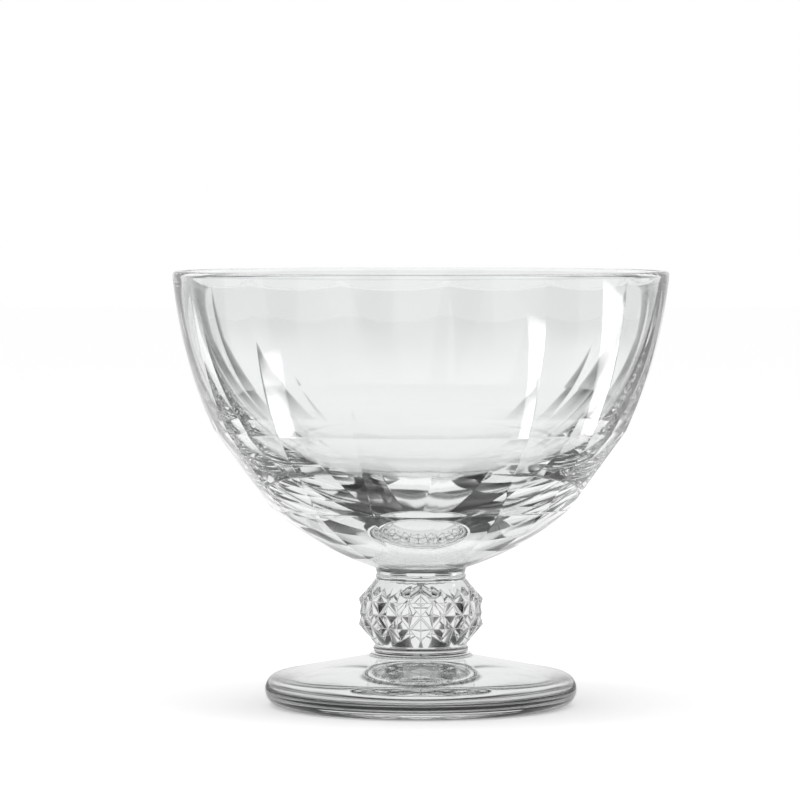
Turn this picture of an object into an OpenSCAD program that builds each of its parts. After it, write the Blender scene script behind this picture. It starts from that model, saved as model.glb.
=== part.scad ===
// Footed parfait glass in pressed clear glass.
// The origin is the centre of the foot, on the surface that the glass stands on.

/* [Foot] */
// Diameter of the foot
foot_d = 73.3; // [68:0.1:80]
// Height of the foot, up to the lower collar
foot_h = 12.4; // [12:0.1:13]
// Thickness of the rounded edge
foot_edge_t = 7.6; // [6.6:0.1:8.4]
// Diameter of the stump that the foot's top sweeps up to
foot_root_d = 23.2; // [22:0.1:25]
// Height at which the slope of the top would meet that stump
foot_slope_h = 11.8; // [10.5:0.1:11.9]
// Radius of the sweep from the stump into the slope
foot_sweep_r = 1.6; // [1.2:0.1:2]
// Inner diameter of the flat ring that the glass stands on
foot_ring_d = 58; // [50:0.5:60]
// Depth of the hollow inside that ring
foot_hollow_h = 1.6; // [0.8:0.1:2.2]

/* [Collars] */
// Height of the lower collar
lower_collar_h = 2; // [1.6:0.1:3]
// Diameter over the bead of the lower collar
lower_collar_d = 22.4; // [22:0.1:23.6]
// Height of the upper collar
upper_collar_h = 1.6; // [1.2:0.1:2.2]
// Diameter over the bead of the upper collar
upper_collar_d = 21.3; // [21:0.1:22.6]
// Depth of the grooves above and below a bead
collar_groove = 0.4; // [0.3:0.1:0.6]

/* [Knop] */
// Height of the knop
knop_h = 15.2; // [14.2:0.1:18]
// Diameter over the diamond points
knop_d = 29.2; // [28:0.1:32]
// Diameter of the shoulders, where the diamonds end
knop_shoulder_d = 24.2; // [23.4:0.1:25]
// Diameter of both ends of the knop
knop_end_d = 21.6; // [21:0.1:22.6]
// Height of one diamond from tip to tip
diamond_h = 6.1; // [5:0.1:6.6]
// Height of the diamond points above the valleys between them
diamond_relief = 0.8; // [0.6:0.1:1]
// Number of diamonds in a row
diamond_count = 16; // [12:1:20]

/* [Bowl] */
// Diameter of the rim
rim_d = 116.4; // [110:0.1:122]
// Height of the bowl, from the upper collar to the rim
bowl_h = 70.8; // [68:0.1:76]
// Thickness of the rounded bead at the rim
rim_t = 2.8; // [2.2:0.1:3.2]
// Height of the bead and the plain round band below it
rim_band_h = 3; // [3:0.1:4]
// Step from the band out to the bead, and from the panels out to the band
band_step = 0.15; // [0.1:0.05:0.3]
// Thickness of the glass under the inside
floor_t = 14.6; // [12:0.1:17]
// Diameter of the neck that stands on the upper collar
neck_d = 20.9; // [20:0.1:21.6]
// Radius of the sweep from the neck into the bowl
neck_sweep_r = 1.8; // [1.4:0.1:2.2]
// How far that sweep widens the neck
neck_flare = 0.8; // [0.4:0.1:0.9]

/* [Panels] */
// Number of panels round the bowl
panel_count = 15; // [12:1:18]
// Height of the panels' lower ends above the upper collar
root_h = 1.6; // [1.4:0.1:1.8]
// Diameter over the ridges at the panels' lower ends
root_d = 23.6; // [23.4:0.1:25]
// Height of the lower crease above the upper collar
waist_h = 15.3; // [14:0.1:17]
// Thickness of the glass at the lower crease, from the ridges square to the inside
waist_t = 9.7; // [8.5:0.1:11]
// Height of the upper crease above the upper collar
crease_h = 33.6; // [32:0.1:36]
// Thickness of the glass at the upper crease, from the ridges square to the inside
crease_t = 5.3; // [4.2:0.1:6.4]
// How far the ridges bow out below the lower crease
lower_bow = 1.4; // [1:0.05:2]
// Thickness of the glass at the ridges, midway from the upper crease to the band
upper_t = 2.6; // [2.1:0.1:3.2]
// Depth of a panel's middle below its ridges at the lower crease
waist_dip = 0.4; // [0.1:0.05:0.6]
// Depth of a panel's middle below its ridges at the upper crease
crease_dip = 0.3; // [0.1:0.05:0.6]

/* [Hidden] */
$fn = 96;
glass = "azure";

// Levels at which the sections are fused, from the foot up
lower_collar_z = foot_h;
knop_z = lower_collar_z + lower_collar_h;
upper_collar_z = knop_z + knop_h;
bowl_z = upper_collar_z + upper_collar_h;

// Edge of the foot, the slope that touches it and the sweep that ends the slope
foot_root_r = foot_root_d / 2;
edge_r = foot_edge_t / 2;
edge_c = [foot_d / 2 - edge_r, edge_r];
slope_top = [foot_root_r, foot_slope_h];
slope_run = edge_c - slope_top;
slope_a = atan2(slope_run.y, slope_run.x) + asin(edge_r / norm(slope_run));
slope_up = [-sin(slope_a), cos(slope_a)];
sweep_x = foot_root_r + foot_sweep_r;
sweep_c = [sweep_x, foot_slope_h + foot_sweep_r * (tan(slope_a) + 1 / cos(slope_a))];
sweep_end = sweep_c - foot_sweep_r * slope_up;
hollow_r = (pow(foot_ring_d / 2, 2) + pow(foot_hollow_h, 2)) / (2 * foot_hollow_h);

// Share of a collar's height that its bead takes
bead_share = 0.88;

// Levels and radii of the knop's diamond lattice
knop_r = knop_d / 2;
half_step = 180 / diamond_count;
valley_r = knop_r - diamond_relief;
core_r = valley_r - diamond_relief / 10;
shoulder_r = knop_shoulder_d / 2;
border_r = shoulder_r - diamond_relief / 6;

// Rounded rim, and the round inside that runs from the floor of the bowl up to it
rim_r = rim_d / 2;
lip_r = rim_t / 2;
lip_h = bowl_h - lip_r;
inside_x = rim_r - rim_t + band_step;
inside_deep = lip_h - floor_t;
inside_r = (pow(inside_x, 2) + pow(inside_deep, 2)) / (2 * inside_deep);
inside_c = [0, floor_t + inside_r];
neck_r = neck_d / 2;

// Point at a height where the glass round the inside has a given thickness
function round_inside(thickness, height) =
    [sqrt(pow(inside_r + thickness, 2) - pow(inside_c.y - height, 2)), height];

// How far a line has to bow out at its middle for the glass to have a given thickness there
function bow_round_inside(a, b, thickness) =
    let (
        out = (a + b) / 2 - inside_c,
        reach = out * [b.y - a.y, a.x - b.x] / norm(b - a)
    )
    sqrt(pow(reach, 2) - out * out + pow(inside_r + thickness, 2)) - reach;

// Ridge of a panel: its ends, its creases and the number of steps between them
band_z = bowl_h - rim_band_h;
ridge_root = [root_d / 2, root_h];
ridge_waist = round_inside(waist_t, waist_h);
ridge_crease = round_inside(crease_t, crease_h);
ridge_top = [rim_r - 2 * band_step, band_z];
upper_bow = bow_round_inside(ridge_crease, ridge_top, upper_t);
bow_steps = 7;
flat_steps = 2;
panel_steps = 6;
half_panel = 180 / panel_count;

module foot() {
    color(glass)
        rotate_extrude()
            difference() {
                union() {
                    polygon([
                        [0, 0],
                        [edge_c.x, 0],
                        edge_c + edge_r * slope_up,
                        sweep_end,
                        [sweep_end.x, foot_h],
                        [0, foot_h]
                    ]);
                    translate(edge_c)
                        circle(r = edge_r);
                }
                translate(sweep_c)
                    circle(r = foot_sweep_r);
                translate([0, foot_hollow_h - hollow_r])
                    circle(r = hollow_r);
            }
}

// Disc with a half-round bead between two grooves
module collar(diameter, height) {
    bead_r = bead_share * height / 2;
    rotate_extrude() {
        square([diameter / 2 - collar_groove, height]);
        translate([diameter / 2 - bead_r, height / 2])
            circle(r = bead_r);
    }
}

module lower_collar() {
    color(glass)
        translate([0, 0, lower_collar_z])
            collar(lower_collar_d, lower_collar_h);
}

module upper_collar() {
    color(glass)
        translate([0, 0, upper_collar_z])
            collar(upper_collar_d, upper_collar_h);
}

// A point of the diamond lattice: level and step count half diamonds, upwards and around
function lattice_r(level, step) =
    abs(level) == 2 ? border_r : (level + step) % 2 == 0 ? valley_r : knop_r;
function lattice_point(level, step) = [
    lattice_r(level, step) * cos(step * half_step),
    lattice_r(level, step) * sin(step * half_step),
    (knop_h + level * diamond_h) / 2
];

// Three staggered rows of four-sided points, with each cell of the lattice folded along its valley
module diamonds() {
    steps = 2 * diamond_count;
    function at(level, step) = (level + 2) * steps + step % steps;
    function cell(a, b, c, d, valley_at_a) =
        valley_at_a ? [[a, d, c], [a, c, b]] : [[a, d, b], [b, d, c]];
    points = [
        for (level = [-2 : 2])
            for (step = [0 : steps - 1])
                lattice_point(level, step)
    ];
    folds = [
        for (level = [-2 : 1])
            for (step = [0 : steps - 1])
                each cell(
                    at(level, step), at(level, step + 1),
                    at(level + 1, step + 1), at(level + 1, step),
                    (level + step) % 2 == 0
                )
    ];
    bottom = [for (step = [0 : steps - 1]) at(-2, step)];
    top = [for (step = [steps - 1 : -1 : 0]) at(2, step)];
    polyhedron(points, concat(folds, [bottom, top]));
}

// Plain barrel that shows above and below the diamonds
module knop_core() {
    middle = knop_h / 2;
    rotate_extrude()
        polygon([
            [0, 0],
            [knop_end_d / 2, 0],
            [shoulder_r, middle - diamond_h],
            [core_r, middle - diamond_h / 2],
            [core_r, middle + diamond_h / 2],
            [shoulder_r, middle + diamond_h],
            [knop_end_d / 2, knop_h],
            [0, knop_h]
        ]);
}

module knop() {
    color(glass)
        translate([0, 0, knop_z]) {
            knop_core();
            diamonds();
        }
}

// Point of a bowed line at a share of its length
function bowed(a, b, bow, share) =
    a + share * (b - a) + 4 * bow * share * (1 - share) * [b.y - a.y, a.x - b.x] / norm(b - a);

// Rows of the panels from one end of a line to just short of the other: radius, height and dip
function rows(a, b, bow, dip_a, dip_b, steps) = [
    for (step = [0 : steps - 1])
        let (share = step / steps)
            [each bowed(a, b, bow, share), dip_a + share * (dip_b - dip_a)]
];

// A point of a row: turned by an angle from the middle of the panel in which it lies
function panel_point(row, turn) =
    let (
        off = turn - 2 * half_panel * round(turn / (2 * half_panel)),
        fall_share = (1 - cos(half_panel) / cos(off)) / (1 - cos(half_panel)),
        radius = row[0] - row[2] * fall_share
    )
    [radius * cos(turn), radius * sin(turn), row[1]];

// Solid body of the bowl with its ring of panels
module panels() {
    ridge = concat(
        rows(ridge_root, ridge_waist, lower_bow, 0, waist_dip, bow_steps),
        rows(ridge_waist, ridge_crease, 0, waist_dip, crease_dip, flat_steps),
        rows(ridge_crease, ridge_top, upper_bow, crease_dip, 0, bow_steps),
        [[each ridge_top, 0]]
    );
    last = len(ridge) - 1;
    steps = panel_count * panel_steps;
    function at(level, step) = level * steps + step % steps;
    points = [
        for (row = ridge)
            for (step = [0 : steps - 1])
                panel_point(row, step * 360 / steps)
    ];
    folds = [
        for (level = [0 : last - 1])
            for (step = [0 : steps - 1])
                each [
                    [at(level, step), at(level + 1, step), at(level + 1, step + 1)],
                    [at(level, step), at(level + 1, step + 1), at(level, step + 1)]
                ]
    ];
    bottom = [for (step = [0 : steps - 1]) at(0, step)];
    top = [for (step = [steps - 1 : -1 : 0]) at(last, step)];
    polyhedron(points, concat(folds, [bottom, top]));
}

// Round inside of the bowl, up to the middle of the bead
module inside_outline() {
    intersection() {
        translate(inside_c)
            circle(r = inside_r);
        square([rim_r, lip_h]);
    }
}

// Plain band of the rim with a bead on it
module rim() {
    rotate_extrude() {
        difference() {
            translate([0, band_z])
                square([rim_r - band_step, lip_h - band_z]);
            inside_outline();
        }
        translate([rim_r - lip_r, lip_h])
            circle(r = lip_r);
    }
}

// Short stump that sweeps out to the panels' lower ends
module neck() {
    flare_r = neck_r + neck_flare;
    rise = sqrt(pow(neck_sweep_r, 2) - pow(neck_sweep_r - neck_flare, 2));
    rotate_extrude()
        difference() {
            square([flare_r, root_h]);
            translate([neck_r + neck_sweep_r, root_h - rise])
                circle(r = neck_sweep_r);
        }
}

module bowl() {
    color(glass)
        translate([0, 0, bowl_z]) {
            difference() {
                panels();
                rotate_extrude()
                    inside_outline();
            }
            rim();
            neck();
        }
}

foot();
lower_collar();
knop();
upper_collar();
bowl();
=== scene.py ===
import math

import bmesh
import bpy
from bpy.props import FloatProperty, FloatVectorProperty, IntProperty, PointerProperty
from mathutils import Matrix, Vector


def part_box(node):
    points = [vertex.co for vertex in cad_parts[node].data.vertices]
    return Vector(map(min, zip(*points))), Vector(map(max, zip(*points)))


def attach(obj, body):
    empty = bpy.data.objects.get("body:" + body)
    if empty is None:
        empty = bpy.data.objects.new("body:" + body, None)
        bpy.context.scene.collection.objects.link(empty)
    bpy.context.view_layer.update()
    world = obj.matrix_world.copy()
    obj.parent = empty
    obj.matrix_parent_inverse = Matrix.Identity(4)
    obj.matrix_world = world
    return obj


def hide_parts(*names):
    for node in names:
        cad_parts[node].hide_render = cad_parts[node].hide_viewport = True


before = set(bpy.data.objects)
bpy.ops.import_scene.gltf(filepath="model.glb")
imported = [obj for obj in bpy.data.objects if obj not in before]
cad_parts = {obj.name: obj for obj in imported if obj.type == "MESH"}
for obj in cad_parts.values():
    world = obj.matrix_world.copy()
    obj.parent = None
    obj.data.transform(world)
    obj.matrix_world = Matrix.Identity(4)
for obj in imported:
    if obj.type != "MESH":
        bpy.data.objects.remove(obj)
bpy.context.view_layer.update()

bl_info = {
    "name": "Parfait glass",
    "version": (1, 0, 0),
    "blender": (4, 5, 0),
    "location": "3D View > Sidebar > Parfait glass",
    "description": "Footed dessert glass in clear pressed glass, section by section",
    "category": "Object",
}

MM = 0.001
FOOT_LOW, FOOT_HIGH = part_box("foot")
LOWER_LOW, LOWER_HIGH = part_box("lower_collar")
KNOP_LOW, KNOP_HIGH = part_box("knop")
UPPER_LOW, UPPER_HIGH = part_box("upper_collar")
BOWL_LOW, BOWL_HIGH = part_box("bowl")

# Meshes
ROUND = 64  # sectors of a section that is the same all round
WELD = 0.004 * MM  # points of neighbouring sectors that are closer than this become one
FOLD = math.radians(4)  # edges between cut faces that are flatter than this stay as they are

# Finish of the glass
POLISH = (0.01, 0.04)  # least and most roughness of the pressed skin
RUBBED = 0.25  # most roughness that wear adds
SCRATCHES = 900.0  # scale of the wear

# Stage, with angles in degrees to the right of the camera; a cover of 1 hides what is behind it
FLOOR_HALF = 4.0
FLOOR_DROP = 0.02 * MM
SKY = 0.8  # brightness of the room that lights the glass
ROOF_SINES = (0.45, 0.7)  # sines of the elevations between which the room turns into its roof
WHOLE_TURN = ((0, 360),)  # angle of the middle and width
CARD_STEPS = 24
CARD_DISTANCE = 0.75
CARD_LIFT = 0.5 * MM
CARD_PROFILE = (  # radius, height and cover
    (0.12, CARD_LIFT, 0), (0.26, CARD_LIFT, 1), (0.7, CARD_LIFT, 1),
    (CARD_DISTANCE, 0.3, 1), (0.6, 0.62, 0.7), (0.3, 0.85, 0),
)
SIDE_COVERS = ((12, 0), (14, 1), (34, 1), (40, 0))  # elevation and cover
# Painted light: the pad under the foot glows white, standing in for the light that the glass lets
# through onto the floor there
PAD_HEIGHT = -0.01 * MM
PAD_COVERS = ((0.01, 1), (0.7, 1), (1, 0))  # share of the radius and cover
INNER_COVERS = ((0.1, 1), (0.8, 1), (1, 0))  # share of the height and cover
KERB_COVERS = ((0.1, 1), (0.7, 1), (1, 0))
WALL_COVERS = ((0.2, 0), (0.3, 1), (0.8, 1), (1, 0))
STRIP_SOFT = 0.4
STRIP_HEIGHT = 1 * MM
STRIP_NEAR, STRIP_FAR = 0.9, 1.2  # how far a strip light fades out, as shares of its ends
STRIPS = (  # name, angle of the middle, width, nearest and farthest radius
    ("front right strip", 49, 8, 0.1, 0.27),
    ("right strip", 96, 15, 0.13, 0.5),
    ("left strip", -69, 11, 0.1, 0.2),
)
LAMPS = (("right softbox", 55), ("left softbox", -78))  # name and angle
LAMP_LIFT = math.radians(75)
LAMP_POWER, LAMP_SIDE, LAMP_DISTANCE = 1.5, 0.4, 0.9
LAMP_AIM = Vector((0, 0, 0.06))
CAMERA_AIM = Vector((-4.9 * MM, 0, 71.7 * MM))
SENSOR_WIDTH = 36  # millimetres, as the lens
CLIP = (0.01, 50)


def length(name, description, default):
    """A property that holds a length in metres."""
    return FloatProperty(
        name=name, description=description, default=default, min=0, unit="LENGTH", precision=5)


def colour(name, description, default):
    """A property that holds a colour."""
    return FloatVectorProperty(
        name=name, description=description, default=default, subtype="COLOR", min=0, max=1)


def number(name, description, default):
    """A property that holds a plain number."""
    return FloatProperty(name=name, description=description, default=default)


def count(name, description, default, least):
    """A property that holds a whole number."""
    return IntProperty(name=name, description=description, default=default, min=least)


class ParfaitFoot(bpy.types.PropertyGroup):
    """Sizes of the foot"""

    diameter: length("Diameter", "Diameter of the foot", FOOT_HIGH.x - FOOT_LOW.x)
    height: length("Height", "Height of the foot, up to the lower collar", FOOT_HIGH.z)
    edge: length("Edge", "Thickness of the rounded edge", 7.6 * MM)
    root: length("Root", "Diameter of the stump that the top sweeps up to", 23.2 * MM)
    slope: length("Slope", "Height at which the slope of the top would meet the stump", 11.8 * MM)
    sweep: length("Sweep", "Radius of the sweep from the stump into the slope", 1.6 * MM)
    ring: length("Ring", "Inner diameter of the ring that the glass stands on", 58 * MM)
    hollow: length("Hollow", "Depth of the hollow inside the ring", 1.6 * MM)


class ParfaitCollars(bpy.types.PropertyGroup):
    """Sizes of the two collars"""

    groove: length("Groove", "Depth of the grooves above and below a bead", 0.4 * MM)
    bead: number("Bead", "Share of a collar's height that its bead takes", 0.88)


class ParfaitKnop(bpy.types.PropertyGroup):
    """Sizes of the knop"""

    diameter: length("Diameter", "Diameter over the diamond points", KNOP_HIGH.x - KNOP_LOW.x)
    shoulder: length("Shoulder", "Diameter of the shoulders, where the diamonds end", 24.2 * MM)
    end: length("End", "Diameter of both ends", 21.6 * MM)
    diamond: length("Diamond", "Height of one diamond from tip to tip", 6.1 * MM)
    relief: length("Relief", "Height of the points above the valleys", 0.8 * MM)
    softness: length("Softness", "Width of the rounding along the edges of the diamonds", 0.1 * MM)
    diamonds: count("Diamonds", "Number of diamonds in a row", 16, 6)


class ParfaitBowl(bpy.types.PropertyGroup):
    """Sizes of the bowl"""

    rim: length("Rim", "Diameter of the rim", BOWL_HIGH.x - BOWL_LOW.x)
    thickness: length("Thickness", "Thickness of the wall at the rim", 2.8 * MM)
    step: length("Step", "How much thinner the wall is just below the rim", 0.15 * MM)
    lip: length("Lip", "Radius of the rounding on both sides of the rim", 1 * MM)
    floor: length("Floor", "Thickness of the glass under the inside", 14.6 * MM)
    neck: length("Neck", "Diameter of the neck", 20.9 * MM)
    sweep: length("Sweep", "Radius of the sweep from the neck into the bowl", 1.8 * MM)
    flare: length("Flare", "How far that sweep widens the neck", 0.8 * MM)
    panels: count("Panels", "Number of panels round the bowl", 15, 5)
    root: length("Root", "Diameter over the ridges at the panels' lower ends", 23.6 * MM)
    root_height: length("Root height", "Height of those ends above the collar", 1.6 * MM)
    waist: length("Waist", "Thickness of the glass at the lower crease", 9.7 * MM)
    waist_height: length("Waist height", "Height of the lower crease above the collar", 15.3 * MM)
    crease: length("Crease", "Thickness of the glass at the upper crease", 5.3 * MM)
    crease_height: length("Crease height", "Height of the upper crease above the collar", 33.6 * MM)
    lower_bow: length("Lower bow", "How far the ridges bow out below the lower crease", 1.4 * MM)
    upper: length("Upper", "Thickness of the glass midway from upper crease to rim", 2.6 * MM)
    waist_dip: length("Waist dip", "Depth of a panel at the lower crease", 0.4 * MM)
    crease_dip: length("Crease dip", "Depth of a panel at the upper crease", 0.45 * MM)
    softness: length("Softness", "Width of the rounding along ridges and creases", 0.35 * MM)


class ParfaitGlass(bpy.types.PropertyGroup):
    """Finish of the glass"""

    clear: colour("Clear", "Colour of the clearest glass", (0.95, 0.955, 0.955))
    tint: colour("Tint", "Colour of the faint streaks in the glass", (0.915, 0.93, 0.93))
    ior: number("Refraction", "How strongly the glass bends light", 1.51)
    wave: length("Wave", "Height of the pressed skin's slight waves", 0.004 * MM)


class ParfaitStage(bpy.types.PropertyGroup):
    """Floor, light and camera"""

    floor: colour("Floor", "Colour of the floor", (0.86, 0.86, 0.86))
    lift: number("Lift", "Brightness that the floor shows by itself", 0.3)
    hush: number("Hush", "How much less of it the glass mirrors and bends", 0.13)
    card: colour("Card", "Colour of the dark cards that draw the edges", (0.01, 0.01, 0.012))
    cards: count("Cards", "Number of dark cards round the glass", 8, 1)
    dark: number("Dark", "Share of the ring round the glass that the dark cards take", 0.46)
    soft: number("Soft", "How softly the dark cards fade out towards their sides", 0.25)
    side: number("Side", "Width in degrees of the raised dark cards beside the glass", 80.0)
    kerb: length("Kerb", "Radius of the low dark kerbs beside the foot", 58 * MM)
    kerb_turn: number("Kerb turn", "Width in degrees of the kerb on each side", 130.0)
    kerb_height: length("Kerb height", "Height of those kerbs", 9 * MM)
    # The pad is painted light: it glows in place of the light that the glass lets onto the floor
    # under its foot
    pad: length("Pad", "Radius of the painted light pad that the glass shows under its foot", 38 * MM)
    inner: length("Inner", "Radius of the inner dark kerb", 39 * MM)
    inner_height: length("Inner height", "Height of that kerb", 6.2 * MM)
    wall: length("Wall", "Radius of the low white wall outside the kerb", 64 * MM)
    wall_height: length("Wall height", "Height of that wall", 26 * MM)
    strip: number("Strip", "Brightness of the strip lights", 13.0)
    surround: number("Surround", "Brightness of the room that the glass mirrors and bends", 0.9)
    roof: number("Roof", "Brightness of the roof that the glass mirrors and bends", 0.04)
    distance: length("Distance", "Distance from the camera to the glass", 1.09)
    eye: length("Eye", "Height of the camera", 119 * MM)
    lens: number("Lens", "Focal length of the camera in millimetres", 209.25)


def arc(centre, radius, start, end, steps):
    """Points on a circle between two angles in degrees, both ends included."""
    points = []
    for i in range(steps + 1):
        a = math.radians(start + (end - start) * i / steps)
        points.append((centre[0] + radius * math.cos(a), centre[1] + radius * math.sin(a)))
    return points


def line(a, b, steps):
    """Points between two ends, both included."""
    run = (b[0] - a[0], b[1] - a[1])
    return [(a[0] + run[0] * i / steps, a[1] + run[1] * i / steps) for i in range(steps + 1)]


def turns_across(half, steps):
    """Even angles across a sector, given half its angle, both ends included."""
    return [half * (2 * i / steps - 1) for i in range(steps + 1)]


def bowed(a, b, bow, share):
    """Point at a share of a line that bows out to the right of its run."""
    run = (b[0] - a[0], b[1] - a[1])
    reach = 4 * bow * share * (1 - share) / math.hypot(*run)
    return (a[0] + share * run[0] + reach * run[1], a[1] + share * run[1] - reach * run[0])


class Chart:
    """One sector of a ring before it is wrapped round the axis, in radius, angle and height."""

    def __init__(self):
        self.points, self.dips, self.faces, self.joints, self.cut = [], [], [], [], []

    def row(self, radius, height, turns, dip=0.0):
        """Adds a row of points at one height and returns their numbers."""
        first = len(self.points)
        for turn in turns:
            self.points.append((radius, turn, height))
            self.dips.append(dip)
        return list(range(first, len(self.points)))

    def face(self, corners, joint=False, cut=False):
        """Adds a face, seen from outside with its corners anticlockwise."""
        self.faces.append(corners)
        self.joints.append(joint)
        self.cut.append(cut)

    def strip(self, low, high, joint=False):
        """Joins two rows, of which one may have several points for each step of the other."""
        if len(low) == len(high):
            for i in range(len(low) - 1):
                self.face((low[i], low[i + 1], high[i + 1], high[i]), joint)
            return
        flip = len(low) > len(high)
        few, many = (high, low) if flip else (low, high)
        each = (len(many) - 1) // (len(few) - 1)
        for i in range(len(few) - 1):
            run = many[i * each:(i + 1) * each + 1]
            middle = each // 2
            fans = [(few[i], run[k + 1], run[k]) for k in range(middle)]
            fans.append((few[i], few[i + 1], run[middle]))
            fans += [(few[i + 1], run[k + 1], run[k]) for k in range(middle, each)]
            for corners in fans:
                self.face(corners[::-1] if flip else corners, joint)

    def mesh(self, name):
        """The chart as a flat mesh with its attributes."""
        mesh = bpy.data.meshes.new(name)
        mesh.from_pydata(self.points, [], self.faces)
        mesh.attributes.new("dip", "FLOAT", "POINT").data.foreach_set("value", self.dips)
        mesh.attributes.new("joint", "BOOLEAN", "FACE").data.foreach_set("value", self.joints)
        mesh.attributes.new("cut", "BOOLEAN", "FACE").data.foreach_set("value", self.cut)
        return mesh


def turned_chart(outline, turns):
    """Chart of a section from its outline, a list of (radius, height, dip, joint from here on)."""
    chart = Chart()
    rows = [chart.row(radius, height, turns, dip) for radius, height, dip, joint in outline]
    for i in range(len(rows) - 1):
        chart.strip(rows[i], rows[i + 1], outline[i][3])
    return chart


def outline_of(*runs):
    """Joins runs of points into an outline; a run is (points, joint)."""
    rows = []
    for points, joint in runs:
        for radius, height in points:
            if rows and math.dist(rows[-1][:2], (radius, height)) < 1e-7:
                rows[-1] = (*rows[-1][:3], joint)
            else:
                rows.append((radius, height, 0.0, joint))
    return rows


def node(tree, kind, **settings):
    """Adds a node, sets its options and its inputs by name."""
    made = tree.nodes.new(kind)
    for name, value in settings.items():
        if hasattr(made, name):
            setattr(made, name, value)
        else:
            made.inputs[name].default_value = value
    return made


def maths(tree, operation, a, b=None):
    """A Math node on links or plain numbers; returns its result."""
    made = node(tree, "ShaderNodeMath", operation=operation)
    for i, value in enumerate((a, b)):
        if isinstance(value, (int, float)):
            made.inputs[i].default_value = value
        elif value is not None:
            tree.links.new(value, made.inputs[i])
    return made.outputs[0]


def ramp(tree, value, start, end, kind="LINEAR"):
    """A Map Range node from one pair of numbers to another; returns its result."""
    made = node(tree, "ShaderNodeMapRange", interpolation_type=kind)
    for name, limit in zip(("From Min", "From Max", "To Min", "To Max"), (*start, *end)):
        made.inputs[name].default_value = limit
    tree.links.new(value, made.inputs["Value"])
    return made.outputs[0]


def sight(tree):
    """Light Path's answers: 1 for the camera's own rays, and 1 for those and what glass shows."""
    path = node(tree, "ShaderNodeLightPath").outputs
    glass = maths(tree, "MAXIMUM", path["Is Glossy Ray"], path["Is Transmission Ray"])
    return path["Is Camera Ray"], maths(tree, "MAXIMUM", path["Is Camera Ray"], glass)


def ring_tree():
    """Geometry nodes that wrap a chart round the axis, press its panels in and repeat it."""
    tree = bpy.data.node_groups.new("Ring of sectors", "GeometryNodeTree")
    tree.is_modifier = True
    for name, way, kind in (
            ("Chart", "INPUT", "Geometry"), ("Sectors", "INPUT", "Int"),
            ("Glass", "INPUT", "Material"), ("Joint", "INPUT", "Material"),
            ("Weld", "INPUT", "Float"), ("Section", "OUTPUT", "Geometry")):
        tree.interface.new_socket(name, in_out=way, socket_type="NodeSocket" + kind)
    given = node(tree, "NodeGroupInput").outputs
    link = tree.links.new

    place = node(tree, "ShaderNodeSeparateXYZ")
    link(node(tree, "GeometryNodeInputPosition").outputs[0], place.inputs[0])
    radius, turn, height = place.outputs
    half = maths(tree, "DIVIDE", math.pi, given["Sectors"])
    edge = maths(tree, "COSINE", half)
    flat = maths(tree, "DIVIDE", edge, maths(tree, "COSINE", turn))
    fall = maths(
        tree, "DIVIDE", maths(tree, "SUBTRACT", 1, flat), maths(tree, "SUBTRACT", 1, edge))
    dip = node(tree, "GeometryNodeInputNamedAttribute", data_type="FLOAT", Name="dip").outputs[0]
    pressed = maths(tree, "SUBTRACT", radius, maths(tree, "MULTIPLY", dip, fall))
    wrapped = node(tree, "ShaderNodeCombineXYZ")
    link(maths(tree, "MULTIPLY", pressed, maths(tree, "COSINE", turn)), wrapped.inputs[0])
    link(maths(tree, "MULTIPLY", pressed, maths(tree, "SINE", turn)), wrapped.inputs[1])
    link(height, wrapped.inputs[2])
    sector = node(tree, "GeometryNodeSetPosition")
    link(given["Chart"], sector.inputs["Geometry"])
    link(wrapped.outputs[0], sector.inputs["Position"])

    places = node(tree, "GeometryNodeMeshLine", mode="OFFSET", Offset=(0, 0, 0))
    link(given["Sectors"], places.inputs["Count"])
    turns = node(tree, "ShaderNodeCombineXYZ")
    index = node(tree, "GeometryNodeInputIndex").outputs[0]
    link(maths(tree, "MULTIPLY", maths(tree, "MULTIPLY", half, 2), index), turns.inputs[2])
    ring = node(tree, "GeometryNodeInstanceOnPoints")
    link(places.outputs[0], ring.inputs["Points"])
    link(sector.outputs[0], ring.inputs["Instance"])
    link(turns.outputs[0], ring.inputs["Rotation"])
    real = node(tree, "GeometryNodeRealizeInstances")
    link(ring.outputs[0], real.inputs[0])
    weld = node(tree, "GeometryNodeMergeByDistance")
    link(real.outputs[0], weld.inputs["Geometry"])
    link(given["Weld"], weld.inputs["Distance"])
    glass = node(tree, "GeometryNodeSetMaterial")
    link(weld.outputs[0], glass.inputs["Geometry"])
    link(given["Glass"], glass.inputs["Material"])
    joint = node(tree, "GeometryNodeSetMaterial")
    link(glass.outputs[0], joint.inputs["Geometry"])
    link(given["Joint"], joint.inputs["Material"])
    marked = node(tree, "GeometryNodeInputNamedAttribute", data_type="BOOLEAN", Name="joint")
    link(marked.outputs[0], joint.inputs["Selection"])
    link(joint.outputs[0], node(tree, "NodeGroupOutput").inputs[0])
    return tree


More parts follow.
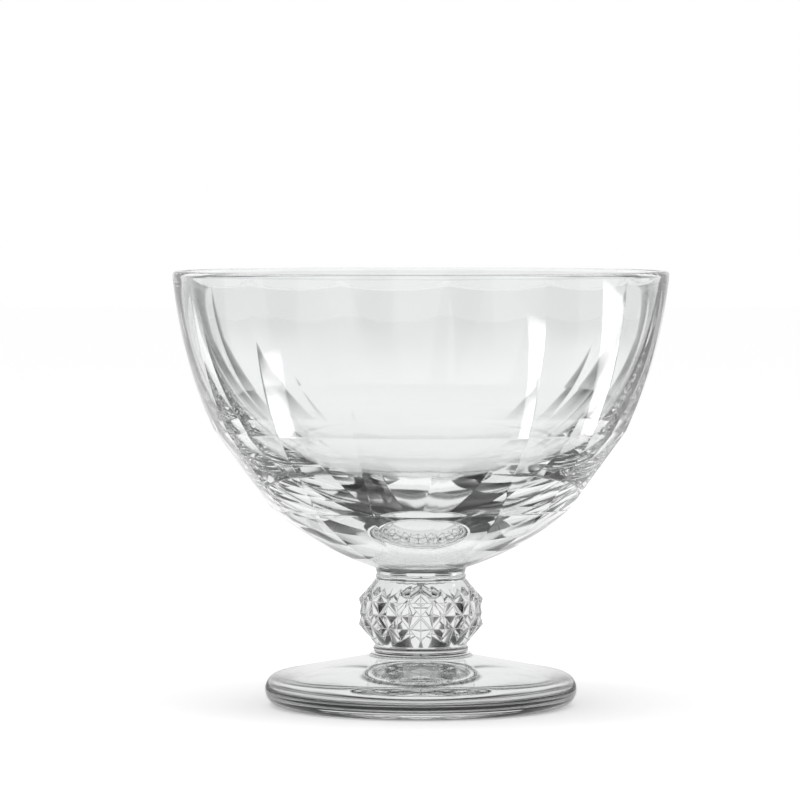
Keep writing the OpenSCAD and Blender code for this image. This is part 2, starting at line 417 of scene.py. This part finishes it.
def section(name, chart, sectors, glass, sharp=35.0, bevel=0.0):
    """Wraps a chart into a closed piece of glass, in place of the CAD node of the same name."""
    tree = bpy.data.node_groups.get("Ring of sectors") or ring_tree()
    maker = bpy.data.objects.new(name + "_chart", chart.mesh(name + "_chart"))
    bpy.context.scene.collection.objects.link(maker)
    modifier = maker.modifiers.new("Ring", "NODES")
    modifier.node_group = tree
    values = {"Sectors": sectors, "Glass": glass, "Joint": fused_joint(), "Weld": WELD}
    for socket in tree.interface.items_tree:
        if socket.in_out == "INPUT" and socket.name in values:
            modifier[socket.identifier] = values[socket.name]
    depsgraph = bpy.context.evaluated_depsgraph_get()
    mesh = bpy.data.meshes.new_from_object(maker.evaluated_get(depsgraph), depsgraph=depsgraph)
    maker.modifiers.remove(modifier)
    bpy.data.objects.remove(maker)
    mesh.name = name
    if bevel:
        soften(mesh, bevel)
    mesh.polygons.foreach_set("use_smooth", [True] * len(mesh.polygons))
    mesh.set_sharp_from_angle(angle=math.radians(sharp))
    loose = [e for e in edge_uses(mesh) if e != 2]
    if loose:
        raise RuntimeError(f"{name} has {len(loose)} open edges")
    piece = bpy.data.objects.new("glass_" + name, mesh)
    bpy.context.scene.collection.objects.link(piece)
    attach(piece, "root")
    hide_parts(name)
    return piece


def round_section(name, outline, glass):
    """A section that is the same all round, from its outline."""
    return section(name, turned_chart(outline, turns_across(math.pi / ROUND, 2)), ROUND, glass)


def edge_uses(mesh):
    """How many faces meet at each edge."""
    uses = {}
    for polygon in mesh.polygons:
        for key in polygon.edge_keys:
            uses[key] = uses.get(key, 0) + 1
    return uses.values()


def soften(mesh, width):
    """Rounds the edges between cut faces."""
    work = bmesh.new()
    work.from_mesh(mesh)
    cut = work.faces.layers.bool["cut"]
    edges = [e for e in work.edges if len(e.link_faces) == 2 and all(f[cut] for f in e.link_faces)
             and e.calc_face_angle() > FOLD]
    bmesh.ops.bevel(work, geom=edges, offset=width, offset_type="OFFSET", segments=2, profile=0.5,
                    affect="EDGES", clamp_overlap=True)
    work.to_mesh(mesh)
    work.free()


def shader(name):
    """A new material with an empty tree and its output."""
    material = bpy.data.materials.new(name)
    material.use_nodes = True
    material.node_tree.nodes.clear()
    return material, material.node_tree, node(material.node_tree, "ShaderNodeOutputMaterial")


def fused_joint():
    """Material of the faces where two sections are fused, which can't be seen."""
    found = bpy.data.materials.get("fused joint")
    if found:
        return found
    material, tree, out = shader("fused joint")
    clear = node(tree, "ShaderNodeBsdfTransparent", Color=(1, 1, 1, 1))
    tree.links.new(clear.outputs[0], out.inputs["Surface"])
    return material


def pressed_glass(name, scale, swell, stretch=(1, 1, 1), wear=None):
    """Clear pressed glass with faint streaks and slight waves, rubbed below the height of wear."""
    look = bpy.context.scene.parfait_glass
    material, tree, out = shader(name)
    link = tree.links.new
    where = node(tree, "ShaderNodeTexCoord").outputs["Object"]
    grain = node(tree, "ShaderNodeMapping", Scale=stretch)
    link(where, grain.inputs["Vector"])
    streaks = node(tree, "ShaderNodeTexNoise", Scale=scale, Detail=3.0, Roughness=0.5)
    link(grain.outputs[0], streaks.inputs["Vector"])
    tint = node(tree, "ShaderNodeMix", data_type="RGBA")
    link(streaks.outputs["Fac"], tint.inputs["Factor"])
    tint.inputs[6].default_value = (*look.clear, 1)
    tint.inputs[7].default_value = (*look.tint, 1)
    glass = node(tree, "ShaderNodeBsdfPrincipled", IOR=look.ior)
    glass.inputs["Transmission Weight"].default_value = 1
    link(tint.outputs[2], glass.inputs["Base Color"])
    rough = ramp(tree, streaks.outputs["Fac"], (0, 1), POLISH)
    if wear is not None:
        place = node(tree, "ShaderNodeSeparateXYZ")
        link(where, place.inputs[0])
        rubbed = ramp(tree, place.outputs["Z"], (wear, 0), (0, RUBBED))
        scratches = node(tree, "ShaderNodeTexNoise", Scale=SCRATCHES, Detail=2.0)
        link(where, scratches.inputs["Vector"])
        worn = maths(tree, "MULTIPLY", rubbed, scratches.outputs["Fac"])
        rough = maths(tree, "ADD", rough, worn)
    link(rough, glass.inputs["Roughness"])
    waves = node(tree, "ShaderNodeTexNoise", Scale=swell, Detail=1.0, Roughness=0.4)
    link(grain.outputs[0], waves.inputs["Vector"])
    skin = node(tree, "ShaderNodeBump", Strength=1.0, Distance=look.wave)
    link(waves.outputs["Fac"], skin.inputs["Height"])
    link(skin.outputs[0], glass.inputs["Normal"])
    link(glass.outputs[0], out.inputs["Surface"])
    return material


class PARFAIT_OT_foot(bpy.types.Operator):
    """Make the round foot with its half-round edge and the hollow under it"""

    bl_idname = "parfait.foot"
    bl_label = "Foot"

    def execute(self, context):
        s = context.scene.parfait_foot
        edge = s.edge / 2
        centre = (s.diameter / 2 - edge, edge)
        top = (s.root / 2, s.slope)
        run = (centre[0] - top[0], centre[1] - top[1])
        lean = math.atan2(run[1], run[0]) + math.asin(edge / math.hypot(*run))
        up = (-math.sin(lean), math.cos(lean))
        sweep = (top[0] + s.sweep, s.slope + s.sweep * (math.tan(lean) + 1 / math.cos(lean)))
        sweep_end = (sweep[0] - s.sweep * up[0], sweep[1] - s.sweep * up[1])
        hollow = ((s.ring / 2) ** 2 + s.hollow ** 2) / (2 * s.hollow)
        spread = math.degrees(math.asin(s.ring / 2 / hollow))
        slope_top = (centre[0] + edge * up[0], centre[1] + edge * up[1])
        start = math.degrees(math.atan2(sweep_end[1] - sweep[1], sweep_end[0] - sweep[0]))
        stop = -180 + math.degrees(math.asin((sweep[1] - s.height) / s.sweep))
        collar = context.scene.parfait_collars
        seat = (LOWER_HIGH.x - LOWER_LOW.x) / 2 - collar.groove
        last = (sweep[0] + s.sweep * math.cos(math.radians(stop)), s.height)
        outline = outline_of(
            (arc((0, s.hollow - hollow), hollow, 90, 90 - spread, steps=24), False),
            (line((s.ring / 2, 0), (centre[0], 0), steps=4), False),
            (arc(centre, edge, -90, 90 + math.degrees(lean), steps=40), False),
            (line(slope_top, sweep_end, steps=20), False),
            (arc(sweep, s.sweep, start, stop, steps=12), False),
            (line(last, (seat, s.height), steps=1), False),
            (line((seat, s.height), (0, s.height), steps=3), True),
        )
        glass = pressed_glass("foot glass", scale=60.0, swell=22.0, wear=0.4 * MM)
        round_section("foot", outline, glass)
        return {"FINISHED"}


class PARFAIT_OT_collars(bpy.types.Operator):
    """Make the two collars, each a bead between two grooves"""

    bl_idname = "parfait.collars"
    bl_label = "Collars"

    def execute(self, context):
        s = context.scene.parfait_collars
        glass = pressed_glass("collar glass", scale=120.0, swell=60.0)
        boxes = {"lower_collar": (LOWER_LOW, LOWER_HIGH), "upper_collar": (UPPER_LOW, UPPER_HIGH)}
        for name, (low, high) in boxes.items():
            tall = high.z - low.z
            outer = (high.x - low.x) / 2
            inner = outer - s.groove
            bead = s.bead * tall / 2
            centre = (outer - bead, low.z + tall / 2)
            meet = math.acos(min(1.0, (inner - centre[0]) / bead))
            reach = bead * math.sin(meet)
            turn = math.degrees(meet)
            outline = outline_of(
                (line((0, low.z), (inner, low.z), steps=3), True),
                (line((inner, low.z), (inner, centre[1] - reach), steps=2), False),
                (arc(centre, bead, -turn, turn, steps=20), False),
                (line((inner, centre[1] + reach), (inner, high.z), steps=2), False),
                (line((inner, high.z), (0, high.z), steps=3), True),
            )
            round_section(name, outline, glass)
        return {"FINISHED"}


class PARFAIT_OT_knop(bpy.types.Operator):
    """Make the knop with its three rows of diamond points"""

    bl_idname = "parfait.knop"
    bl_label = "Knop"

    def execute(self, context):
        s = context.scene.parfait_knop
        groove = context.scene.parfait_collars.groove
        half = math.pi / s.diamonds
        middle = (KNOP_LOW.z + KNOP_HIGH.z) / 2
        outer, end = s.diameter / 2, s.end / 2
        border = s.shoulder / 2 - s.relief / 6
        last = 2  # the lattice has this many levels above its middle and as many below
        steps = (-1, 0, 1)
        fine = turns_across(half, 8)
        chart = Chart()

        def lattice(level):
            row = []
            for step in steps:
                deep = (level + step) % 2 == 0
                radius = border if abs(level) == last else outer - s.relief if deep else outer
                row += chart.row(radius, middle + level * s.diamond / 2, [step * half])
            return row

        lower, upper = [
            min((high.x - low.x) / 2 - groove, end - groove / 2)
            for low, high in ((LOWER_LOW, LOWER_HIGH), (UPPER_LOW, UPPER_HIGH))]
        bottom = [chart.row(r, KNOP_LOW.z, fine) for r in (0, lower / 2, lower, end)]
        levels = [lattice(level) for level in range(-last, last + 1)]
        top = [chart.row(r, KNOP_HIGH.z, fine) for r in (end, upper, upper / 2, 0)]
        for i in range(3):
            chart.strip(bottom[i], bottom[i + 1], joint=i < 2)
        chart.strip(bottom[-1], levels[0])
        for level in range(-last, last):
            low, high = levels[level + last], levels[level + last + 1]
            for i, step in enumerate(steps[:-1]):
                a, b, c, d = low[i], low[i + 1], high[i + 1], high[i]
                deep = (level + step) % 2 == 0
                for fold in ((a, c, d), (a, b, c)) if deep else ((a, b, d), (b, c, d)):
                    chart.face(fold, cut=True)
        chart.strip(levels[-1], top[0])
        for i in range(3):
            chart.strip(top[i], top[i + 1], joint=i > 0)
        glass = pressed_glass("knop glass", scale=140.0, swell=60.0)
        section("knop", chart, s.diamonds, glass, sharp=12.0, bevel=s.softness)
        return {"FINISHED"}


class PARFAIT_OT_bowl(bpy.types.Operator):
    """Make the bowl with its ring of panels, its rounded rim and its round inside"""

    bl_idname = "parfait.bowl"
    bl_label = "Bowl"

    def execute(self, context):
        s = context.scene.parfait_bowl
        base, top = BOWL_LOW.z, BOWL_HIGH.z
        rim, neck = s.rim / 2, s.neck / 2
        mouth = rim - s.thickness + s.step
        deep = top - s.thickness / 2 - base - s.floor
        inside = (mouth ** 2 + deep ** 2) / (2 * deep)
        centre = (0, base + s.floor + inside)
        root = (s.root / 2, base + s.root_height)
        waist = self.outside(centre, inside + s.waist, base + s.waist_height)
        crease = self.outside(centre, inside + s.crease, base + s.crease_height)
        lip = (rim, top - s.lip)
        upper_bow = self.bow(crease, lip, centre, inside + s.upper)
        groove = context.scene.parfait_collars.groove
        seat = (UPPER_HIGH.x - UPPER_LOW.x) / 2 - groove

        rise = math.sqrt(s.sweep ** 2 - (s.sweep - s.flare) ** 2)
        sweep = (neck + s.sweep, root[1] - rise)
        low_turn = 180 + math.degrees(math.asin((sweep[1] - base) / s.sweep))
        high_turn = 180 - math.degrees(math.asin(rise / s.sweep))
        stump = arc(sweep, s.sweep, low_turn, high_turn, steps=10)
        outline = outline_of(
            (line((0, base), (seat, base), steps=3), True),
            (line((seat, base), stump[0], steps=1), False),
            (stump, False),
        )
        soft = s.softness
        outline += self.ridge(root, waist, s.lower_bow, (0, s.waist_dip), soft, steps=30)
        outline += self.ridge(waist, crease, 0, (s.waist_dip, s.crease_dip), soft, steps=16)
        outline += self.ridge(crease, lip, upper_bow, (s.crease_dip, 0), soft, steps=30, fade=3)
        inner = self.outside(centre, inside, lip[1])
        down = math.degrees(math.atan2(inner[1] - centre[1], inner[0]))
        outline += outline_of(
            (arc((rim - s.lip, lip[1]), s.lip, 0, 90, steps=12), False),
            (arc((inner[0] + s.lip, lip[1]), s.lip, 90, 180, steps=12), False),
            (arc(centre, inside, down, -90, steps=60), False),
        )
        half = math.pi / s.panels
        close = soft / crease[0]
        turns = [-half, -half + close, *turns_across(half, 14)[1:-1], half - close, half]
        glass = pressed_glass("bowl glass", scale=45.0, swell=14.0, stretch=(1, 1, 0.4))
        section("bowl", turned_chart(outline, turns), s.panels, glass)
        return {"FINISHED"}

    @staticmethod
    def ridge(a, b, bow, dips, softness, steps, fade=1):
        """Rows of the panels between two ends, with a close row at each end for a crisp crease.

        The dip of the panels goes from the first of dips to the second, later with a larger fade.
        """
        near = softness / math.dist(a, b)
        rows = []
        for share in (0, near, *(i / steps for i in range(1, steps)), 1 - near):
            dip = dips[0] + share ** fade * (dips[1] - dips[0])
            rows.append((*bowed(a, b, bow, share), dip, False))
        return rows

    @staticmethod
    def outside(centre, radius, height):
        """The point of a circle about the axis at a height below its centre."""
        return (math.sqrt(radius ** 2 - (centre[1] - height) ** 2), height)

    @staticmethod
    def bow(a, b, centre, radius):
        """How far a line has to bow out for its middle to lie on a circle."""
        run = (b[0] - a[0], b[1] - a[1])
        out = ((a[0] + b[0]) / 2 - centre[0], (a[1] + b[1]) / 2 - centre[1])
        reach = (out[0] * run[1] - out[1] * run[0]) / math.hypot(*run)
        return math.sqrt(reach ** 2 - math.hypot(*out) ** 2 + radius ** 2) - reach


class PARFAIT_OT_stage(bpy.types.Operator):
    """Make the floor, the soft light, the dark cards and the camera"""

    bl_idname = "parfait.stage"
    bl_label = "Stage"

    def execute(self, context):
        s = context.scene.parfait_stage
        scene = context.scene
        scene.view_settings.view_transform = "Standard"
        scene.cycles.max_bounces = 32
        scene.cycles.transmission_bounces = 32
        scene.cycles.glossy_bounces = 16
        scene.cycles.transparent_max_bounces = 32
        self.floor(scene, s)
        self.world(scene, s)
        self.dark_cards(scene, s)
        self.rings(scene, s)
        self.strips(scene, s)
        self.lamps(scene)
        self.camera(scene, s)
        return {"FINISHED"}

    def floor(self, scene, s):
        """Pale floor that keeps the shadow and shows some white by itself."""
        corners = [(x * FLOOR_HALF, y * FLOOR_HALF, 0)
                   for x, y in ((-1, -1), (1, -1), (1, 1), (-1, 1))]
        mesh = bpy.data.meshes.new("floor")
        mesh.from_pydata(corners, [], [(0, 1, 2, 3)])
        floor = bpy.data.objects.new("floor", mesh)
        floor.location.z = -FLOOR_DROP
        scene.collection.objects.link(floor)
        material, tree, out = shader("pale floor")
        link = tree.links.new
        matt = node(tree, "ShaderNodeBsdfDiffuse", Color=(*s.floor, 1))
        glow = node(tree, "ShaderNodeEmission", Color=(1, 1, 1, 1))
        camera, seen = sight(tree)
        shown = maths(tree, "MULTIPLY", seen, s.lift - s.hush)
        direct = maths(tree, "MULTIPLY", camera, s.hush)
        link(maths(tree, "ADD", shown, direct), glow.inputs["Strength"])
        both = node(tree, "ShaderNodeAddShader")
        link(matt.outputs[0], both.inputs[0])
        link(glow.outputs[0], both.inputs[1])
        link(both.outputs[0], out.inputs["Surface"])
        mesh.materials.append(material)

    def world(self, scene, s):
        """White room, with a dark roof that only the glass shows."""
        world = bpy.data.worlds.new("white studio")
        scene.world = world
        world.use_nodes = True
        tree = world.node_tree
        tree.nodes.clear()
        link = tree.links.new
        camera, seen = sight(tree)
        way = node(tree, "ShaderNodeSeparateXYZ")
        link(node(tree, "ShaderNodeTexCoord").outputs["Generated"], way.inputs[0])
        room = ramp(tree, way.outputs["Z"], ROOF_SINES, (s.surround, s.roof), "SMOOTHSTEP")
        white = node(tree, "ShaderNodeBackground", Color=(1, 1, 1, 1))
        link(maths(tree, "MAXIMUM", room, camera), white.inputs["Strength"])
        soft = node(tree, "ShaderNodeBackground", Color=(1, 1, 1, 1), Strength=SKY)
        mix = node(tree, "ShaderNodeMixShader")
        link(seen, mix.inputs[0])
        link(soft.outputs[0], mix.inputs[1])
        link(white.outputs[0], mix.inputs[2])
        link(mix.outputs[0], node(tree, "ShaderNodeOutputWorld").inputs["Surface"])

    def dark_cards(self, scene, s):
        """Dark cards round the glass, with a white gap behind it, and two raised ones beside it."""
        step = 360 / s.cards
        round_turns = [(180 + (i + 0.5) * step, s.dark * step) for i in range(s.cards)]
        side_turns = ((90, s.side), (-90, s.side))
        side_profile = [(CARD_DISTANCE, CARD_DISTANCE * math.tan(math.radians(elevation)), cover)
                        for elevation, cover in SIDE_COVERS]
        for name, turns, profile in (
                ("flags", round_turns, CARD_PROFILE), ("side flags", side_turns, side_profile)):
            made = self.cards(scene, name, turns, profile, s.soft, (*s.card, 1))
            made.visible_glossy = False

    def rings(self, scene, s):
        """Low rings round the foot that only the glass shows: a glowing pad of painted light under
        the foot, dark kerbs, white wall.
        """
        dark, white = (*s.card, 1), (s.surround, s.surround, s.surround, 1)
        sides = ((90, s.kerb_turn), (-90, s.kerb_turn))
        # Painted light: a glowing pad under the foot in place of the light that the glass lets
        # through onto the floor
        pad = [(share * s.pad, PAD_HEIGHT, cover) for share, cover in PAD_COVERS]
        inner, kerb, wall = (
            [(radius, share * height, cover) for share, cover in covers]
            for radius, height, covers in (
                (s.inner, s.inner_height, INNER_COVERS), (s.kerb, s.kerb_height, KERB_COVERS),
                (s.wall, s.wall_height, WALL_COVERS)))
        for name, turns, profile, soft, tone, mirrored in (
                ("painted light pad", WHOLE_TURN, pad, 0, white, False),
                ("inner kerb", WHOLE_TURN, inner, 0, dark, False),
                ("kerb", sides, kerb, 1, dark, True),
                ("low wall", WHOLE_TURN, wall, 0, white, True)):
            ring = self.cards(scene, name, turns, profile, soft, tone)
            ring.visible_glossy = mirrored

    def strips(self, scene, s):
        """Strip lights flat on the floor, which the panels mirror as upright blades."""
        for name, turn, width, near, far in STRIPS:
            ends = ((STRIP_NEAR * near, 0), (near, 1), (far, 1), (STRIP_FAR * far, 0))
            profile = [(radius, STRIP_HEIGHT, cover) for radius, cover in ends]
            light = self.cards(
                scene, name, ((turn, width),), profile, STRIP_SOFT, (1, 1, 1, 1), s.strip)
            light.visible_transmission = False

    def cards(self, scene, name, turns, profile, soft, tone, strength=1.0):
        """Cards that only the glass shows, from the angle of each one's middle and its width.

        A profile is a list of (radius, height, cover), and soft fades a card out towards its sides.
        """
        material, tree, out = shader(name)
        link = tree.links.new
        cloth = node(tree, "ShaderNodeEmission", Color=tone, Strength=strength)
        clear = node(tree, "ShaderNodeBsdfTransparent", Color=(1, 1, 1, 1))
        cover = node(tree, "ShaderNodeAttribute", attribute_name="cover").outputs["Fac"]
        mix = node(tree, "ShaderNodeMixShader")
        link(cover, mix.inputs[0])
        link(clear.outputs[0], mix.inputs[1])
        link(cloth.outputs[0], mix.inputs[2])
        link(mix.outputs[0], out.inputs["Surface"])
        points, covers, faces = [], [], []
        rows = len(profile)
        for middle, width in turns:
            for k in range(CARD_STEPS + 1):
                share = k / CARD_STEPS
                a = math.radians(middle + (share - 0.5) * width - 90)
                points += [(r * math.cos(a), r * math.sin(a), z) for r, z, full in profile]
                covers += [full * math.sin(math.pi * share) ** soft for r, z, full in profile]
                if k:
                    n = len(points) - rows
                    faces += [(n + j, n + j + 1, n + j + 1 - rows, n + j - rows)
                              for j in range(rows - 1)]
        mesh = bpy.data.meshes.new(name)
        mesh.from_pydata(points, [], faces)
        mesh.attributes.new("cover", "FLOAT", "POINT").data.foreach_set("value", covers)
        mesh.materials.append(material)
        cards = bpy.data.objects.new(name.replace(" ", "_"), mesh)
        cards.visible_camera = False
        cards.visible_diffuse = False
        cards.visible_shadow = False
        scene.collection.objects.link(cards)
        return cards

    def lamps(self, scene):
        """Two high softboxes, which the glass itself doesn't show."""
        for name, turn in LAMPS:
            data = bpy.data.lights.new(name, "AREA")
            data.shape = "RECTANGLE"
            data.size, data.size_y, data.energy = LAMP_SIDE, LAMP_SIDE, LAMP_POWER
            lamp = bpy.data.objects.new(name, data)
            a, level = math.radians(turn), math.cos(LAMP_LIFT)
            away = Vector((math.sin(a) * level, -math.cos(a) * level, math.sin(LAMP_LIFT)))
            lamp.location = LAMP_AIM + away * LAMP_DISTANCE
            lamp.rotation_mode = "QUATERNION"
            lamp.rotation_quaternion = away.to_track_quat("Z", "Y")
            lamp.visible_glossy = False
            lamp.visible_transmission = False
            scene.collection.objects.link(lamp)

    def camera(self, scene, s):
        """Camera in front of the glass, a little above its rim."""
        data = bpy.data.cameras.new("camera")
        data.lens = s.lens
        data.sensor_width = SENSOR_WIDTH
        data.clip_start, data.clip_end = CLIP
        camera = bpy.data.objects.new("camera", data)
        camera.location = (0, -s.distance, s.eye)
        camera.rotation_mode = "QUATERNION"
        camera.rotation_quaternion = (CAMERA_AIM - camera.location).to_track_quat("-Z", "Y")
        scene.collection.objects.link(camera)
        scene.camera = camera


class PARFAIT_PT_glass(bpy.types.Panel):
    """Steps and sizes of the parfait glass"""

    bl_idname = "PARFAIT_PT_glass"
    bl_label = "Parfait glass"
    bl_space_type = "VIEW_3D"
    bl_region_type = "UI"
    bl_category = "Parfait glass"

    def draw(self, context):
        for operator, group in STEPS:
            box = self.layout.box()
            box.operator(operator.bl_idname)
            sizes = getattr(context.scene, group)
            for name in sizes.bl_rna.properties.keys():
                if name not in {"rna_type", "name"}:
                    box.prop(sizes, name)
        finish = self.layout.box()
        for name in ("clear", "tint", "ior", "wave"):
            finish.prop(context.scene.parfait_glass, name)


STEPS = (
    (PARFAIT_OT_foot, "parfait_foot"),
    (PARFAIT_OT_collars, "parfait_collars"),
    (PARFAIT_OT_knop, "parfait_knop"),
    (PARFAIT_OT_bowl, "parfait_bowl"),
    (PARFAIT_OT_stage, "parfait_stage"),
)
GROUPS = {
    "parfait_foot": ParfaitFoot,
    "parfait_collars": ParfaitCollars,
    "parfait_knop": ParfaitKnop,
    "parfait_bowl": ParfaitBowl,
    "parfait_glass": ParfaitGlass,
    "parfait_stage": ParfaitStage,
}
CLASSES = (*GROUPS.values(), *(operator for operator, group in STEPS), PARFAIT_PT_glass)


def register():
    for made in CLASSES:
        bpy.utils.register_class(made)
    for name, group in GROUPS.items():
        setattr(bpy.types.Scene, name, PointerProperty(type=group))


def unregister():
    for name in GROUPS:
        delattr(bpy.types.Scene, name)
    for made in reversed(CLASSES):
        bpy.utils.unregister_class(made)


def main():
    register()
    bpy.ops.parfait.foot()
    bpy.ops.parfait.collars()
    bpy.ops.parfait.knop()
    bpy.ops.parfait.bowl()
    bpy.ops.parfait.stage()


if __name__ == "__main__":
    main()
